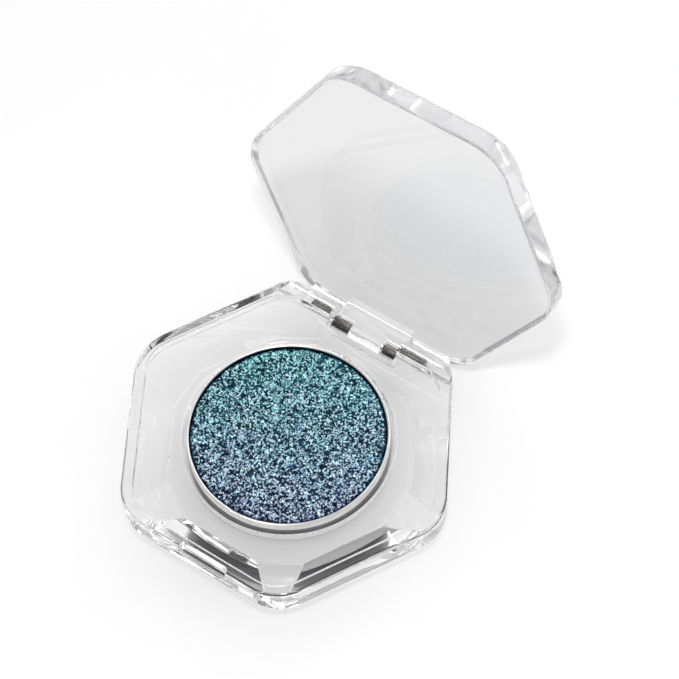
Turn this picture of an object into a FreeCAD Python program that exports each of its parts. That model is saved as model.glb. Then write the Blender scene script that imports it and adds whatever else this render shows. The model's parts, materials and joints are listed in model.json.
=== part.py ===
import FreeCAD, Part
import math
import os

os.makedirs("parts", exist_ok=True)
V = FreeCAD.Vector

# Single-pan pressed eyeshadow compact: a clear hexagonal gem-cut base with a
# thick clear lid on two hinge pins, standing with the lid open.
# Millimetres, +Z up, hinge at the back (+Y), thumb notch at the front (-Y).
# Origin: centre of the flat underside that the compact stands on.

# ---------------------------------------------------------------- dimensions
ACROSS_FLATS = 41.05          # base, flat to flat
CORNER_R = 6.5                # rounding of the six vertical corners
BASE_H = 6.4                  # underside to rim top
GIRDLE_Z = 2.75               # where the upright wall meets the gem facets
FLAT_APOTHEM = 15.4           # flat underside, centre to long edge
CORNER_FLAT = 16.1            # flat underside, centre to short corner edge
CORNER_FACET_SLOPE = 21.3     # degrees from level
RIM_W = 1.5                   # rim land around the recess
RECESS_D = 1.2                # recessed deck below the rim top
RIM_EDGE_R = 0.45             # outer top edge of the rim

BAR_FRONT_Y = 17.2            # front face of the hinge bar at the back
BAR_BACK_R = 3.0              # rounding of the bar's top back edge

WELL_D = 27.2                 # round well for the pan
WELL_FLOOR_Z = 2.1
WELL_EDGE_R = 0.4             # rounding of the well's mouth

PAN_OD = 26.0                 # standard single shadow pan
PAN_H = 3.8
PAN_WALL = 0.35
PAN_FLOOR = 0.4
PAN_CORNER_R = 0.7
GLUE_D = 2.2                  # two dabs of glue under the pan, pressed flat
GLUE_AT = [(6.4, 7.7), (-6.4, -7.0)]
GLUE_T = 0.2
POWDER_GAP = 0.02             # powder to pan wall
POWDER_BELOW_RIM = 0.12       # pressed face below the pan rim

HINGE_Y = 18.37               # hinge axis, parallel to X
HINGE_Z = 2.95
OPEN_DEG = 102.0              # lid angle as it stands, on its stop
NOTCH_W = 10.3                # gap in the hinge bar for the lid's knuckle
NOTCH_FRONT_Y = 16.25         # front wall of the notch, at deck height
NOTCH_DRAFT = 5.0             # degrees, the notch is wider at the top
KNUCKLE_W = 9.9
KNUCKLE_R = 1.7               # barrel round the pins
KNUCKLE_BACK = 1.4            # back face of the knuckle behind the axis

PIN_D = 1.5                   # smooth half, turns in the knuckle
KNURL_D = 1.56                # knurled half, pressed into the bar
KNURL_ROOT_D = 1.40
KNURL_TEETH = 20
PIN_INNER_X = 2.6
PIN_OUTER_X = 8.7
KNURL_X = 5.3                 # smooth half ends, knurled half starts
PIN_CHAMFER = 0.12
KNUCKLE_BORE_D = 1.6
KNUCKLE_BORE_END_X = 2.4

LID_APOTHEM = 20.32           # five free sides
LID_BACK_APOTHEM = 19.85      # trimmed at the hinge side to clear the table
LID_T = 3.6
LID_GAP = 0.15                # lid to rim when shut
LID_CORNER_R = 6.4
LID_OUTER_R = 1.0             # rounding of the outside edge
LID_INNER_R = 0.35            # rounding of the inside edge

THUMB_W = 7.0                 # thumb notch in the front wall
THUMB_X = 0.95                # middle of the notch, a little right of centre
THUMB_D = 0.9
THUMB_H = 2.1
THUMB_CORNER_R = 0.5

# ------------------------------------------------------------------- helpers
SIDE_DEG = [90, 150, 210, 270, 330, 30]   # outward normals, back side first


def order(deg_list):
    return sorted(range(len(deg_list)), key=lambda i: deg_list[i])


def outline(apothems, radius, z, degs=SIDE_DEG):
    """Closed polygon with tangent rounded corners, as a face at height z."""
    idx = order(degs)
    n = len(idx)
    lines = [(math.radians(degs[i]), apothems[i]) for i in idx]
    corners = []
    for k in range(n):
        t0, d0 = lines[k]
        t1, d1 = lines[(k + 1) % n]
        det = math.cos(t0) * math.sin(t1) - math.sin(t0) * math.cos(t1)
        x = (d0 * math.sin(t1) - d1 * math.sin(t0)) / det
        y = (d1 * math.cos(t0) - d0 * math.cos(t1)) / det
        corners.append((x, y, t0, t1))
    arcs = []
    for x, y, t0, t1 in corners:
        half = ((t1 - t0) % (2 * math.pi)) / 2
        mid = t0 + half
        back = radius / math.cos(half)
        cx, cy = x - back * math.cos(mid), y - back * math.sin(mid)
        pts = [V(cx + radius * math.cos(t), cy + radius * math.sin(t), z)
               for t in (t0, mid, t0 + 2 * half)]
        arcs.append(pts)
    edges = []
    for k in range(n):
        p = arcs[k]
        edges.append(Part.Arc(p[0], p[1], p[2]).toShape())
        q = arcs[(k + 1) % n][0]
        edges.append(Part.LineSegment(p[2], q).toShape())
    return Part.Face(Part.Wire(edges))


def prism(face, height):
    return face.extrude(V(0, 0, height))


def x_cylinder(r, x0, x1, y, z):
    return Part.makeCylinder(r, x1 - x0, V(x0, y, z), V(1, 0, 0))


def save(shape, name):
    shape = shape.removeSplitter()
    if shape.ShapeType != "Solid" and len(shape.Solids) == 1:
        shape = shape.Solids[0]
    shape.exportStep("parts/%s.step" % name)
    print(name, "solids", len(shape.Solids), "valid", shape.isValid(),
          "volume %.1f" % shape.Volume)
    return shape


A = ACROSS_FLATS / 2

# ---------------------------------------------------------------- base case
base = prism(outline([A] * 6, CORNER_R, 0), BASE_H)

# gem facets of the underside: six sides and six corners
SIDE_SLOPE = math.degrees(math.atan2(GIRDLE_Z, A - FLAT_APOTHEM))
for k in range(12):
    side = k % 2 == 0
    deg = 30 + 30 * k
    slope = SIDE_SLOPE if side else CORNER_FACET_SLOPE
    dist = FLAT_APOTHEM if side else CORNER_FLAT
    wedge = Part.makeBox(30, 60, 30, V(0, -30, -30))
    wedge.translate(V(-4, 0, 0))
    wedge.rotate(V(0, 0, 0), V(0, 1, 0), -slope)
    wedge.translate(V(dist, 0, 0))
    wedge.rotate(V(0, 0, 0), V(0, 0, 1), deg)
    base = base.cut(wedge)

# rounded outer edge of the rim, all sides but the back
top_edges = []
for e in base.Edges:
    if all(abs(v.Z - BASE_H) < 1e-6 for v in e.Vertexes):
        top_edges.append(e)
base = base.makeFillet(RIM_EDGE_R, top_edges)

# hinge bar: its back top edge is rounded about the hinge
cy, cz = A - BAR_BACK_R, BASE_H - BAR_BACK_R
relief = Part.makeBox(60, 10, 10, V(-30, cy, cz))
relief = relief.cut(x_cylinder(BAR_BACK_R, -30, 30, cy, cz))
base = base.cut(relief)

# recessed deck and the well for the pan
deck = outline([BAR_FRONT_Y] + [A - RIM_W] * 5, CORNER_R - RIM_W,
               BASE_H - RECESS_D)
base = base.cut(prism(deck, 10))
base = base.cut(Part.makeCylinder(WELL_D / 2, 10, V(0, 0, WELL_FLOOR_Z)))
deck_z = BASE_H - RECESS_D
mouth = [e for e in base.Edges
         if e.Curve.TypeId == "Part::GeomCircle"
         and abs(e.Curve.Radius - WELL_D / 2) < 1e-6
         and abs(e.Curve.Center.z - deck_z) < 1e-6]
base = base.makeFillet(WELL_EDGE_R, mouth)

# notch for the knuckle, open at the back and below
lean = math.tan(math.radians(NOTCH_DRAFT))
z0, z1 = -2, BASE_H + 2
wall = [(NOTCH_FRONT_Y + (deck_z - z0) * lean, z0), (40, z0), (40, z1),
        (NOTCH_FRONT_Y + (deck_z - z1) * lean, z1)]
wall = [V(-NOTCH_W / 2, y, z) for y, z in wall]
notch = Part.Face(Part.makePolygon(wall + wall[:1])).extrude(V(NOTCH_W, 0, 0))
base = base.cut(notch)

# bores for the pins, through to both sides, where the pins are pushed in
base = base.cut(x_cylinder(KNURL_D / 2, -30, 30, HINGE_Y, HINGE_Z))

# thumb notch in the middle of the front wall
thumb = Part.makeBox(THUMB_W, 5, THUMB_H + 2,
                     V(THUMB_X - THUMB_W / 2, -A - 5 + THUMB_D,
                       BASE_H - THUMB_H))
inner = [e for e in thumb.Edges
         if all(abs(v.Y - (-A + THUMB_D)) < 1e-6 for v in e.Vertexes)
         and not all(v.Z > BASE_H + 1 for v in e.Vertexes)]
thumb = thumb.makeFillet(THUMB_CORNER_R, inner)
base = base.cut(thumb)

base = save(base, "base_case")

# ----------------------------------------------------------------------- lid
lid_z = BASE_H + LID_GAP
lid = prism(outline([LID_BACK_APOTHEM] + [LID_APOTHEM] * 5, LID_CORNER_R,
                    lid_z), LID_T)
outer = [e for e in lid.Edges
         if all(abs(v.Z - lid_z - LID_T) < 1e-6 for v in e.Vertexes)]
lid = lid.makeFillet(LID_OUTER_R, outer)
inside = [e for e in lid.Edges
          if all(abs(v.Z - lid_z) < 1e-6 for v in e.Vertexes)]
lid = lid.makeFillet(LID_INNER_R, inside)

k = KNUCKLE_W / 2
tongue = Part.makeBox(KNUCKLE_W, KNUCKLE_R + KNUCKLE_BACK,
                      lid_z + 0.6 - HINGE_Z,
                      V(-k, HINGE_Y - KNUCKLE_R, HINGE_Z))
barrel = x_cylinder(KNUCKLE_R, -k, k, HINGE_Y, HINGE_Z)
lid = lid.fuse(tongue.fuse(barrel)).removeSplitter()
for s in (-1, 1):
    x0, x1 = sorted((s * KNUCKLE_BORE_END_X, s * (k + 1)))
    lid = lid.cut(x_cylinder(KNUCKLE_BORE_D / 2, x0, x1, HINGE_Y, HINGE_Z))

# as the compact stands: open against its stop
lid.rotate(V(0, HINGE_Y, HINGE_Z), V(1, 0, 0), -OPEN_DEG)
lid = save(lid, "lid")

# ---------------------------------------------------------------- hinge pins
def pin(sign):
    smooth = x_cylinder(PIN_D / 2, PIN_INNER_X, KNURL_X, HINGE_Y, HINGE_Z)
    end = [e for e in smooth.Edges
           if all(abs(v.X - PIN_INNER_X) < 1e-6 for v in e.Vertexes)
           and len(e.Vertexes) == 1]
    smooth = smooth.makeChamfer(PIN_CHAMFER, end)
    pts = []
    for i in range(2 * KNURL_TEETH):
        r = (KNURL_D if i % 2 == 0 else KNURL_ROOT_D) / 2
        t = math.pi * i / KNURL_TEETH
        pts.append(V(KNURL_X, HINGE_Y + r * math.cos(t),
                     HINGE_Z + r * math.sin(t)))
    pts.append(pts[0])
    knurl = Part.Face(Part.makePolygon(pts)).extrude(
        V(PIN_OUTER_X - KNURL_X, 0, 0))
    cone = Part.makeCone(KNURL_D / 2 + 0.3, KNURL_D / 2 - PIN_CHAMFER,
                         0.3 + PIN_CHAMFER,
                         V(PIN_OUTER_X - PIN_CHAMFER - 0.3, HINGE_Y, HINGE_Z),
                         V(1, 0, 0))
    body = x_cylinder(KNURL_D / 2 + 0.3, KNURL_X - 1,
                      PIN_OUTER_X - PIN_CHAMFER - 0.3, HINGE_Y, HINGE_Z)
    knurl = knurl.common(body.fuse(cone))
    p = smooth.fuse(knurl)
    if sign < 0:
        p = p.mirror(V(0, 0, 0), V(1, 0, 0))
    return p


save(pin(-1), "hinge_pin_left")
save(pin(1), "hinge_pin_right")

# ------------------------------------------------------ pan, glue and powder
pan_z0 = WELL_FLOOR_Z + GLUE_T
pan_z1 = pan_z0 + PAN_H
ro = PAN_OD / 2
ri = ro - PAN_WALL
pan = Part.makeCylinder(ro, PAN_H, V(0, 0, pan_z0))
foot = [e for e in pan.Edges
        if len(e.Vertexes) == 1 and abs(e.Vertexes[0].Z - pan_z0) < 1e-6]
pan = pan.makeFillet(PAN_CORNER_R, foot)
cup = Part.makeCylinder(ri, PAN_H, V(0, 0, pan_z0 + PAN_FLOOR))
foot = [e for e in cup.Edges
        if len(e.Vertexes) == 1
        and abs(e.Vertexes[0].Z - pan_z0 - PAN_FLOOR) < 1e-6]
cup = cup.makeFillet(PAN_CORNER_R - PAN_WALL, foot)
pan = pan.cut(cup)
rim = [e for e in pan.Edges
       if len(e.Vertexes) == 1 and abs(e.Vertexes[0].Z - pan_z1) < 1e-6]
pan = pan.makeFillet(0.12, rim)
save(pan, "eyeshadow_pan")

dabs = [Part.makeCylinder(GLUE_D / 2, GLUE_T, V(x, y, WELL_FLOOR_Z))
        for x, y in GLUE_AT]
save(Part.makeCompound(dabs), "pan_adhesive")

pw_z0 = pan_z0 + PAN_FLOOR
pw_h = PAN_H - PAN_FLOOR - POWDER_BELOW_RIM
powder = Part.makeCylinder(ri - POWDER_GAP, pw_h, V(0, 0, pw_z0))
foot = [e for e in powder.Edges
        if len(e.Vertexes) == 1 and abs(e.Vertexes[0].Z - pw_z0) < 1e-6]
powder = powder.makeFillet(PAN_CORNER_R - PAN_WALL + 0.02, foot)
save(powder, "pressed_eyeshadow")
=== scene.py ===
import bpy
import bmesh
import json
import math
import random
from mathutils import Vector, Matrix, noise
from mathutils.geometry import delaunay_2d_cdt, intersect_point_line


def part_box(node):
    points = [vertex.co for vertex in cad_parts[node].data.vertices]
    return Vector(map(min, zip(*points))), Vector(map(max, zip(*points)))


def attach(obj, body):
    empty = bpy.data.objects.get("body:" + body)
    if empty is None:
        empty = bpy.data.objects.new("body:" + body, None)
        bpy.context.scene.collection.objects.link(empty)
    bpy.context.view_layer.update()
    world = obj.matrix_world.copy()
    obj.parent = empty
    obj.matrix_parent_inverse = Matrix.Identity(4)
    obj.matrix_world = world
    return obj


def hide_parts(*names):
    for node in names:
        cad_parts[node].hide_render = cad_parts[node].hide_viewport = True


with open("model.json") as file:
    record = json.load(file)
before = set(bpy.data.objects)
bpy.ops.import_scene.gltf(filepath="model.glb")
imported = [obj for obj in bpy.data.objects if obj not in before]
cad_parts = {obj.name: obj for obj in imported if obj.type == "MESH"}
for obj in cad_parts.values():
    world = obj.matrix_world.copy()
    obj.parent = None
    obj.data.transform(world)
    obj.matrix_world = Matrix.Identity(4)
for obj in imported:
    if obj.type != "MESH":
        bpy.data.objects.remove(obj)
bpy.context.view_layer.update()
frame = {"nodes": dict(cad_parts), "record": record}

nodes = frame["nodes"]
scene = bpy.context.scene
MM = 0.001


# --------------------------------------------------------------------- camera
def make_camera():
    az, el, roll = math.radians(36.765), math.radians(60.064), math.radians(-3.8)
    back = Vector((math.sin(az) * math.cos(el), -math.cos(az) * math.cos(el), math.sin(el)))
    fwd = -back
    right = Vector((math.cos(az), math.sin(az), 0.0))
    up = right.cross(fwd)
    r = right * math.cos(roll) + up * math.sin(roll)
    u = -right * math.sin(roll) + up * math.cos(roll)
    m = Matrix((r, u, back)).transposed().to_4x4()
    m.translation = Vector((91.727, -110.600, 278.107)) * MM
    data = bpy.data.cameras.new("camera")
    data.sensor_fit = "HORIZONTAL"
    data.sensor_width = 36.0
    data.lens = 128.54
    data.clip_start = 0.01
    data.clip_end = 10.0
    cam = bpy.data.objects.new("camera", data)
    cam.matrix_world = m
    scene.collection.objects.link(cam)
    scene.camera = cam


make_camera()


# ------------------------------------------------------------- node shorthand
class Nodes:
    """Small helper for writing shader trees."""

    def __init__(self, name):
        self.mat = bpy.data.materials.new(name)
        self.mat.use_nodes = True
        self.tree = self.mat.node_tree
        self.tree.nodes.clear()
        self.out = self.add("ShaderNodeOutputMaterial")

    def add(self, kind, **props):
        n = self.tree.nodes.new(kind)
        for k, v in props.items():
            setattr(n, k, v)
        return n

    def link(self, a, b):
        self.tree.links.new(a, b)

    def coords(self, scale=1.0):
        tc = self.add("ShaderNodeTexCoord")
        mp = self.add("ShaderNodeMapping")
        mp.inputs["Scale"].default_value = (scale,) * 3 if isinstance(scale, (int, float)) else scale
        self.link(tc.outputs["Object"], mp.inputs["Vector"])
        return mp.outputs["Vector"]

    def noise(self, vec, scale, detail=4.0, rough=0.55):
        n = self.add("ShaderNodeTexNoise")
        n.inputs["Scale"].default_value = scale
        n.inputs["Detail"].default_value = detail
        n.inputs["Roughness"].default_value = rough
        self.link(vec, n.inputs["Vector"])
        return n.outputs["Fac"]

    def ramp(self, fac, stops, mode="LINEAR"):
        n = self.add("ShaderNodeValToRGB")
        n.color_ramp.interpolation = mode
        els = n.color_ramp.elements
        while len(els) < len(stops):
            els.new(0.5)
        for e, (p, c) in zip(els, stops):
            e.position = p
            e.color = c if len(c) == 4 else (*c, 1.0)
        self.link(fac, n.inputs["Fac"])
        return n.outputs["Color"]

    def map(self, value, lo, hi, a=0.0, b=1.0):
        n = self.add("ShaderNodeMapRange")
        n.inputs["From Min"].default_value = a
        n.inputs["From Max"].default_value = b
        n.inputs["To Min"].default_value = lo
        n.inputs["To Max"].default_value = hi
        self.link(value, n.inputs["Value"])
        return n.outputs["Result"]

    def bump(self, height, strength, distance):
        n = self.add("ShaderNodeBump")
        n.inputs["Strength"].default_value = strength
        n.inputs["Distance"].default_value = distance
        self.link(height, n.inputs["Height"])
        return n.outputs["Normal"]

    def bsdf(self, **sockets):
        n = self.add("ShaderNodeBsdfPrincipled")
        for k, v in sockets.items():
            n.inputs[k.replace("_", " ")].default_value = v
        self.link(n.outputs["BSDF"], self.out.inputs["Surface"])
        return n


# ------------------------------------------------------------------ materials
PAN_FOOT, PAN_TOP = (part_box("eyeshadow_pan")[k].z for k in (0, 1))


def clear_plastic(name, tint, lamp_face, lamp_edge, mirror, rough=(0.0, 0.035)):
    """Polished clear styrene with faint moulding flow and handling marks.

    Lamp light goes straight through, dimmed a little face on and more at a slant.
    """
    n = Nodes(name)
    b = n.bsdf(Base_Color=tint, Transmission_Weight=1.0, IOR=1.57, Specular_Tint=(mirror, mirror, mirror, 1))
    v = n.coords(1000.0)
    haze = n.noise(v, 0.22, 3.0)
    fine = n.noise(v, 2.5, 5.0)
    mix = n.add("ShaderNodeMix", data_type="FLOAT")
    mix.inputs["Factor"].default_value = 0.35
    n.link(haze, mix.inputs["A"])
    n.link(fine, mix.inputs["B"])
    n.link(n.map(mix.outputs["Result"], *rough, 0.42, 0.75), b.inputs["Roughness"])
    n.link(n.bump(haze, 0.06, 0.00004), b.inputs["Normal"])
    slant = n.add("ShaderNodeLayerWeight")
    slant.inputs["Blend"].default_value = 0.5
    through = n.add("ShaderNodeBsdfTransparent")
    n.link(n.ramp(slant.outputs["Facing"], [(0.25, (lamp_face,) * 3), (0.9, (lamp_edge,) * 3)]),
           through.inputs["Color"])
    path = n.add("ShaderNodeLightPath")
    soft = n.add("ShaderNodeMath", operation="MAXIMUM")
    n.link(path.outputs["Is Shadow Ray"], soft.inputs[0])
    n.link(path.outputs["Is Diffuse Ray"], soft.inputs[1])
    both = n.add("ShaderNodeMixShader")
    n.link(soft.outputs["Value"], both.inputs["Fac"])
    n.link(b.outputs["BSDF"], both.inputs[1])
    n.link(through.outputs["BSDF"], both.inputs[2])
    n.link(both.outputs["Shader"], n.out.inputs["Surface"])
    return n.mat


def ridge_painted_highlight():
    """Clear plastic made white and partly diffuse along the ridges between the facets, a painted highlight for
    bright ridge lines.
    """
    n = Nodes("clear_plastic_ridge_look")
    b = n.bsdf(IOR=1.57, Transmission_Weight=0.45)
    v = n.coords(1000.0)
    ridge_mottle = n.noise(v, 1.4, 5.0, 0.65)
    # the near-white colour here is a painted highlight on the ridges
    n.link(n.ramp(ridge_mottle, [(0.35, (0.90, 0.90, 0.91)), (0.65, (0.98, 0.98, 0.98))]), b.inputs["Base Color"])
    n.link(n.map(ridge_mottle, 0.25, 0.6, 0.3, 0.7), b.inputs["Roughness"])
    n.link(n.bump(ridge_mottle, 0.3, 0.00001), b.inputs["Normal"])
    path = n.add("ShaderNodeLightPath")
    soft = n.add("ShaderNodeMath", operation="MAXIMUM")
    n.link(path.outputs["Is Shadow Ray"], soft.inputs[0])
    n.link(path.outputs["Is Diffuse Ray"], soft.inputs[1])
    through = n.add("ShaderNodeBsdfTransparent")
    through.inputs["Color"].default_value = (0.95, 0.95, 0.95, 1)
    both = n.add("ShaderNodeMixShader")
    n.link(soft.outputs["Value"], both.inputs["Fac"])
    n.link(b.outputs["BSDF"], both.inputs[1])
    n.link(through.outputs["BSDF"], both.inputs[2])
    n.link(both.outputs["Shader"], n.out.inputs["Surface"])
    return n.mat


def pan_aluminium():
    """Pressed aluminium: a bright rim, with the wall below it painted dark as shade where it sits in the well's
    narrow gap, a little less dark at the foot.
    """
    n = Nodes("pan_aluminium_look")
    b = n.bsdf(Metallic=0.8)
    v = n.coords((120.0, 120.0, 2200.0))
    lines = n.noise(v, 1.0, 6.0, 0.7)
    blot = n.noise(n.coords(1000.0), 0.6, 4.0)
    tc = n.add("ShaderNodeTexCoord")
    sep = n.add("ShaderNodeSeparateXYZ")
    n.link(tc.outputs["Object"], sep.inputs[0])
    wall_height_lines = n.add("ShaderNodeMath", operation="MULTIPLY_ADD")
    wall_height_lines.inputs[1].default_value = 0.12
    n.link(lines, wall_height_lines.inputs[0])
    n.link(n.map(sep.outputs["Z"], 0.0, 1.0, PAN_FOOT, PAN_TOP), wall_height_lines.inputs[2])
    # below the bright rim the wall colour is painted shade for the part down in the well's narrow gap
    wall = n.ramp(wall_height_lines.outputs["Value"], [
        (0.10, (0.085, 0.085, 0.095)), (0.34, (0.045, 0.045, 0.052)), (0.45, (0.075, 0.075, 0.080)),
        (0.69, (0.165, 0.165, 0.165)), (0.75, (0.90, 0.89, 0.88))])
    shade = n.add("ShaderNodeMix", data_type="RGBA", blend_type="MULTIPLY")
    shade.inputs[0].default_value = 0.5
    n.link(wall, shade.inputs[6])
    n.link(n.ramp(blot, [(0.35, (0.84, 0.83, 0.82)), (0.65, (1.0, 0.99, 0.98))]), shade.inputs[7])
    n.link(shade.outputs[2], b.inputs["Base Color"])
    n.link(n.map(lines, 0.24, 0.42, 0.3, 0.7), b.inputs["Roughness"])
    n.link(n.bump(lines, 0.25, 0.00002), b.inputs["Normal"])
    return n.mat


def pin_steel():
    """Drawn steel wire, streaked along its length, its colour painted mostly dark as shade for the pins sitting in
    the knuckle.
    """
    n = Nodes("pin_steel_look")
    b = n.bsdf(Metallic=1.0)
    v = n.coords((300.0, 4000.0, 4000.0))
    draw = n.noise(v, 1.0, 5.0, 0.65)
    # the near-black ramp colours are painted shade; the palest streaks are the steel's own tone
    n.link(n.ramp(draw, [(0.3, (0.07, 0.065, 0.06)), (0.55, (0.20, 0.19, 0.18)), (0.72, (0.62, 0.62, 0.62))]), b.inputs["Base Color"])
    n.link(n.map(draw, 0.18, 0.4, 0.3, 0.7), b.inputs["Roughness"])
    n.link(n.bump(draw, 0.3, 0.00001), b.inputs["Normal"])
    return n.mat


def adhesive():
    """Pale hot-melt glue."""
    n = Nodes("adhesive_look")
    b = n.bsdf(IOR=1.48)
    v = n.coords(1000.0)
    f = n.noise(v, 3.0, 5.0)
    n.link(n.ramp(f, [(0.3, (0.86, 0.85, 0.82)), (0.7, (0.95, 0.94, 0.92))]), b.inputs["Base Color"])
    n.link(n.map(f, 0.15, 0.4), b.inputs["Roughness"])
    n.link(n.bump(f, 0.3, 0.00003), b.inputs["Normal"])
    return n.mat


def glitter():
    """Mica and glitter flakes: each facet has its own colour, held in the mesh."""
    n = Nodes("glitter_powder")
    b = n.bsdf(Metallic=0.25, IOR=1.2)
    at = n.add("ShaderNodeAttribute", attribute_name="flake")
    n.link(at.outputs["Color"], b.inputs["Base Color"])
    v = n.coords(1000.0)
    grain = n.noise(v, 9.0, 3.0)
    n.link(n.map(grain, 0.3, 0.55, 0.3, 0.7), b.inputs["Roughness"])
    n.link(n.bump(grain, 0.35, 0.00002), b.inputs["Normal"])
    return n.mat


def floor_white():
    n = Nodes("floor_white")
    b = n.bsdf(IOR=1.4)
    v = n.coords(1.0)
    f = n.noise(v, 30.0, 4.0)
    n.link(n.ramp(f, [(0.3, (0.93, 0.93, 0.93)), (0.7, (0.95, 0.95, 0.95))]), b.inputs["Base Color"])
    n.link(n.map(f, 0.75, 0.9), b.inputs["Roughness"])
    return n.mat


# --------------------------------------------------------------- clear shells
AXIS = Vector(frame["record"]["behaviour"]["joints"][0]["pos_m"])


def polished_copy(node, name, width, ridge_z=None, ridge=1.0):
    """The CAD moulding with its crisp edges broken to a small moulded radius.

    Shallow ridges below ridge_z are broken too, by ridge times the width, and take
    the second material.
    """
    lines = []
    src = nodes[node].data
    bm = bmesh.new()
    bm.from_mesh(src)
    bmesh.ops.remove_doubles(bm, verts=bm.verts, dist=2e-7)
    bmesh.ops.dissolve_limit(bm, angle_limit=math.radians(0.4), verts=bm.verts, edges=bm.edges, delimit=set())
    weight = bm.edges.layers.float.new("bevel_weight_edge")
    biggest = max(1.0, ridge)

    def roomy(e, w):
        """The faces beside the edge, and the edges at its ends, can take the radius."""
        a, b = e.verts[0].co, e.verts[1].co
        wide = all(max((v.co - intersect_point_line(v.co, a, b)[0]).length for v in f.verts) > 2.5 * w
                   for f in e.link_faces)
        at_bore = all(math.hypot(v.co.y - AXIS.y, v.co.z - AXIS.z) < 1.3 * MM for v in e.verts)
        return wide and not at_bore and all(x.calc_length() > 1.5 * w for v in e.verts for x in v.link_edges)

    for e in bm.edges:
        if len(e.link_faces) != 2:
            continue
        angle = math.degrees(e.calc_face_angle(0.0))
        low = ridge_z is not None and all(v.co.z < ridge_z for v in e.verts)
        if low and 9 < angle <= 38:
            if e.calc_length() > 1.2 * MM and roomy(e, width * ridge):
                e[weight] = ridge / biggest
                lines.append((e.verts[0].co.copy(), e.verts[1].co.copy()))
        elif angle > 38:
            if roomy(e, width):
                e[weight] = 1.0 / biggest
            else:
                e.smooth = False
    me = bpy.data.meshes.new(name)
    bm.to_mesh(me)
    bm.free()
    ob = bpy.data.objects.new(name, me)
    scene.collection.objects.link(ob)
    for p in me.polygons:
        p.use_smooth = True
    bev = ob.modifiers.new("edge_radius", "BEVEL")
    bev.width = width * biggest
    bev.segments = 2
    bev.limit_method = "WEIGHT"
    bev.use_clamp_overlap = False
    bev.miter_outer = "MITER_ARC"
    wn = ob.modifiers.new("normals", "WEIGHTED_NORMAL")
    wn.mode = "FACE_AREA_WITH_ANGLE"
    wn.weight = 60
    wn.keep_sharp = True
    dg = bpy.context.evaluated_depsgraph_get()
    out = bpy.data.meshes.new_from_object(ob.evaluated_get(dg), depsgraph=dg)
    out.name = name
    ob.modifiers.clear()
    ob.data = out
    near = width * biggest * 1.6

    def beside(q, a, b):
        c, t = intersect_point_line(q, a, b)
        return -0.05 < t < 1.05 and (q - c).length < near

    for p in out.polygons:
        pts = [out.vertices[i].co for i in p.vertices]
        if any(all(beside(q, a, b) for q in pts) for a, b in lines):
            p.material_index = 1
    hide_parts(node)
    return ob


plastic_base = clear_plastic("clear_plastic_look", (0.965, 0.965, 0.97, 1), 0.975, 0.72, 1.0)
plastic_lid = clear_plastic("clear_plastic_lid_look", (0.845, 0.845, 0.85, 1), 0.95, 0.60, 0.35)
# the lid plastic again, satin and tinted lighter: painted light on the lid's edge band
satin_edge_lit_tint = clear_plastic("clear_plastic_lid_edge_look", (0.93, 0.93, 0.945, 1), 0.95, 0.60, 0.35, (0.07, 0.17))

case = polished_copy("base_case", "base_case_polished", 0.09 * MM, 3.0 * MM, 1.6)
case_looks = [p.material_index for p in case.data.polygons]
case.data.materials.clear()
case.data.materials.append(plastic_base)
# second material: painted highlight along the shallow underside ridges
case.data.materials.append(ridge_painted_highlight())
case.data.polygons.foreach_set("material_index", case_looks)
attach(case, "base")

cover = polished_copy("lid", "lid_polished", 0.09 * MM)
# the lid's side walls have a soft satin finish and a lighter tint than the faces, painted light that makes the edge
# band paler; its faces and knuckle are polished
slab = max(cover.data.polygons, key=lambda p: p.area).normal.copy()
cover_looks = [int(abs(p.normal.dot(slab)) < 0.5 and math.hypot(p.center.y - AXIS.y, p.center.z - AXIS.z) > 3.5 * MM)
               for p in cover.data.polygons]
cover.data.materials.clear()
cover.data.materials.append(plastic_lid)
cover.data.materials.append(satin_edge_lit_tint)
cover.data.polygons.foreach_set("material_index", cover_looks)
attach(cover, "lid")


def repaint(node, mat, smooth_deg=None):
    ob = nodes[node]
    ob.data.materials.clear()
    ob.data.materials.append(mat)


repaint("eyeshadow_pan", pan_aluminium())
steel = pin_steel()
repaint("hinge_pin_left", steel)
repaint("hinge_pin_right", steel)
repaint("pan_adhesive", adhesive())


# -------------------------------------------------------------------- powder
DARK, MID, LIGHT, SPARK = 0, 1, 2, 3
TONES = {
    "hinge": [(0.001, 0.018, 0.028), (0.020, 0.180, 0.215), (0.13, 0.58, 0.66), (0.56, 1.00, 0.98)],
    "middle": [(0.002, 0.010, 0.025), (0.028, 0.115, 0.210), (0.18, 0.44, 0.67), (0.66, 0.97, 1.00)],
    "front": [(0.003, 0.004, 0.016), (0.046, 0.068, 0.190), (0.28, 0.38, 0.69), (0.80, 0.91, 1.00)],
}
# the powder's darkest tone without flakes, used as painted shade at the cake's edge
EDGE_DARK_SHADE = (0.002, 0.009, 0.018)


def tone(zone, level):
    """Colour of a flake: level 0 is a gap between flakes, 1 a flake that catches the light."""
    x = level * 3.0
    k = min(int(x), 2)
    w = x - k
    return [zone[k][i] * (1 - w) + zone[k + 1][i] * w for i in range(3)]


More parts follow.
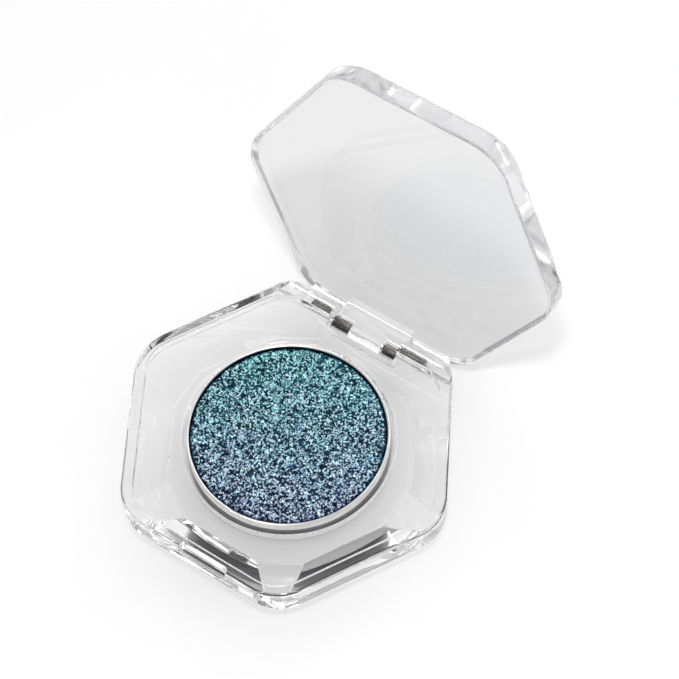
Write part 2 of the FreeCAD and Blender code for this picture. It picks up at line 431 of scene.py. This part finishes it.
def make_powder():
    rnd = random.Random(41)
    lo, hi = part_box("pressed_eyeshadow")
    r = (hi.x - lo.x) / 2
    top = hi.z
    step = 0.172 * MM
    crown = r - 0.20 * MM
    pts = []
    n = int(r / step) + 2
    rows = int(r / (step * 0.866)) + 2
    for j in range(-rows, rows + 1):
        for i in range(-n, n + 1):
            x = (i + (0.5 if j % 2 else 0.0)) * step + rnd.uniform(-0.42, 0.42) * step
            y = j * step * 0.866 + rnd.uniform(-0.42, 0.42) * step
            if math.hypot(x, y) < crown - 0.46 * MM:
                pts.append(Vector((x, y)))
    for inset in (0.36, 0.20):
        m = int(2 * math.pi * (crown - inset * MM) / step)
        for k in range(m):
            t = 2 * math.pi * (k + rnd.uniform(-0.35, 0.35)) / m
            q = crown - (inset + rnd.uniform(-0.06, 0.06)) * MM
            pts.append(Vector((q * math.cos(t), q * math.sin(t))))
    ring_n = 360
    ring0 = len(pts)
    for k in range(ring_n):
        t = 2 * math.pi * k / ring_n
        pts.append(Vector((crown * math.cos(t), crown * math.sin(t))))
    out = delaunay_2d_cdt(pts, [], [list(range(ring0, ring0 + ring_n))], 1, 1e-9)
    vs, fs = out[0], out[2]
    verts = []
    colours = []
    for p in vs:
        d = crown - p.length
        shoulder = -0.16 * MM * math.exp(-(max(d, 0.0) / (0.30 * MM)) ** 1.3)
        wave = 0.035 * MM * noise.noise(Vector((p.x, p.y, 0.0)) * 420.0)
        z = top - 0.11 * MM + wave + rnd.uniform(-0.075, 0.075) * MM + shoulder
        verts.append(Vector((p.x, p.y, min(z, top))))
        t = 0.5 + (0.53 * p.x - 0.85 * p.y) / (2 * r) + 0.25 * rnd.gauss(0, 1) + 0.18 * noise.noise(Vector((p.x, p.y, 0.003)) * 230.0)
        t = min(max(t, 0.0), 1.0)
        a, b, w = (("hinge", "middle", t * 2) if t < 0.5 else ("middle", "front", t * 2 - 1))
        u = rnd.random()
        if u < 0.625:
            level = rnd.uniform(0.0, 0.07)
        elif u < 0.69:
            level = rnd.uniform(0.25, 0.62)
        else:
            level = rnd.uniform(0.75, 1.0)
        level += 0.10 * noise.noise(Vector((p.x, p.y, 0.007)) * 600.0)
        # flakes near the crown edge are dimmed: painted shade along the rim of the cake
        level *= 1.0 - 0.7 * math.exp(-(max(d, 0.0) / (0.14 * MM)) ** 1.5)
        level = min(max(level, 0.0), 1.0)
        ca, cb = tone(TONES[a], level), tone(TONES[b], level)
        colours.append([ca[i] * (1 - w) + cb[i] * w for i in range(3)])
    # a groove and a thin film up the wall go round the cake, then the wall and underside close it; all take the
    # powder's darkest tone with no flakes, painted shade where the cake meets the pan wall
    rim = [i for i, p in enumerate(vs) if p.length > crown - 0.01 * MM]
    rim.sort(key=lambda i: math.atan2(vs[i].y, vs[i].x))
    n0 = len(verts)
    levels = [
        (top - 0.55 * MM, r - 0.14 * MM),
        (top - 0.50 * MM, r - 0.07 * MM),
        (top - 0.06 * MM, r - 0.05 * MM),
        (top - 0.02 * MM, r - 0.00 * MM),
        (top - 1.2 * MM, r),
        (lo.z + 0.4 * MM, r),
        (lo.z, r - 0.4 * MM),
    ]
    for z, rr in levels:
        for i in rim:
            a = math.atan2(vs[i].y, vs[i].x)
            verts.append(Vector((rr * math.cos(a), rr * math.sin(a), z)))
            colours.append(EDGE_DARK_SHADE)
    faces = [tuple(f) for f in fs]
    m = len(rim)
    rows = [rim] + [[n0 + l * m + k for k in range(m)] for l in range(len(levels))]
    for a, b in zip(rows, rows[1:]):
        for k in range(m):
            q = (k + 1) % m
            faces.append((a[k], b[k], b[q], a[q]))
    faces.append(tuple(reversed(rows[-1])))
    me = bpy.data.meshes.new("pressed_powder")
    me.from_pydata([tuple(v) for v in verts], [], faces)
    bm = bmesh.new()
    bm.from_mesh(me)
    bmesh.ops.recalc_face_normals(bm, faces=bm.faces)
    bm.to_mesh(me)
    bm.free()
    # each flake's colour drifts from teal at the hinge to lavender at the front right
    col = me.color_attributes.new("flake", "FLOAT_COLOR", "CORNER")
    for p in me.polygons:
        loops = list(p.loop_indices)
        ids = [me.loops[li].vertex_index for li in loops]
        got = [colours[i] for i in ids]
        if max(ids) < n0:
            u = rnd.random()
            if u < 0.28:
                got = [min(got, key=sum)] * len(got)
            elif u < 0.50:
                got = [max(got, key=sum)] * len(got)
        for li, c in zip(loops, got):
            col.data[li].color = (*c, 1.0)
    ob = bpy.data.objects.new("pressed_powder", me)
    scene.collection.objects.link(ob)
    me.materials.append(glitter())
    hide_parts("pressed_eyeshadow")
    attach(ob, "base")


make_powder()


# ------------------------------------------------------------ floor and light
def make_stage():
    bpy.ops.mesh.primitive_plane_add(size=6.0, location=(0, 0, -0.00002))
    floor = bpy.context.object
    floor.name = "floor"
    floor.data.materials.append(floor_white())

    world = bpy.data.worlds.new("studio")
    scene.world = world
    world.use_nodes = True
    t = world.node_tree
    t.nodes.clear()
    out = t.nodes.new("ShaderNodeOutputWorld")
    bg = t.nodes.new("ShaderNodeBackground")
    tc = t.nodes.new("ShaderNodeTexCoord")
    sep = t.nodes.new("ShaderNodeSeparateXYZ")
    ramp = t.nodes.new("ShaderNodeValToRGB")
    els = ramp.color_ramp.elements
    els[0].position, els[0].color = 0.0, (1.22, 1.22, 1.25, 1)
    els[1].position, els[1].color = 0.72, (1.0, 1.0, 1.0, 1)
    e = els.new(0.36)
    e.color = (0.95, 0.95, 0.96, 1)
    t.links.new(tc.outputs["Generated"], sep.inputs[0])
    t.links.new(sep.outputs["Z"], ramp.inputs["Fac"])
    t.links.new(ramp.outputs["Color"], bg.inputs["Color"])
    bg.inputs["Strength"].default_value = 0.40
    t.links.new(bg.outputs["Background"], out.inputs["Surface"])

    def area(name, loc, target, size, power, size_y=None):
        data = bpy.data.lights.new(name, "AREA")
        data.shape = "RECTANGLE"
        data.size = size
        data.size_y = size_y or size
        data.energy = power
        ob = bpy.data.objects.new(name, data)
        ob.location = loc
        ob.rotation_euler = (Vector(target) - Vector(loc)).to_track_quat("-Z", "Y").to_euler()
        scene.collection.objects.link(ob)

    area("back", (-0.12, 0.72, 0.40), (0, 0, 0.02), 0.95, 3.3, 0.42)
    area("strip", (-0.42, 0.34, 0.62), (0, 0, 0), 0.60, 0.6, 0.03)
    area("key", (0.052, -0.062, 0.36), (0, 0, 0), 0.04, 0.62)


make_stage()

scene.cycles.max_bounces = 48
scene.cycles.transmission_bounces = 40
scene.cycles.glossy_bounces = 40
scene.cycles.diffuse_bounces = 4
scene.cycles.transparent_max_bounces = 12
scene.cycles.caustics_reflective = False
scene.cycles.caustics_refractive = False
scene.cycles.blur_glossy = 0.3
scene.cycles.sample_clamp_indirect = 6.0
scene.cycles.use_denoising = True
scene.view_settings.view_transform = "Standard"
scene.view_settings.look = "None"
scene.view_settings.exposure = 0.0
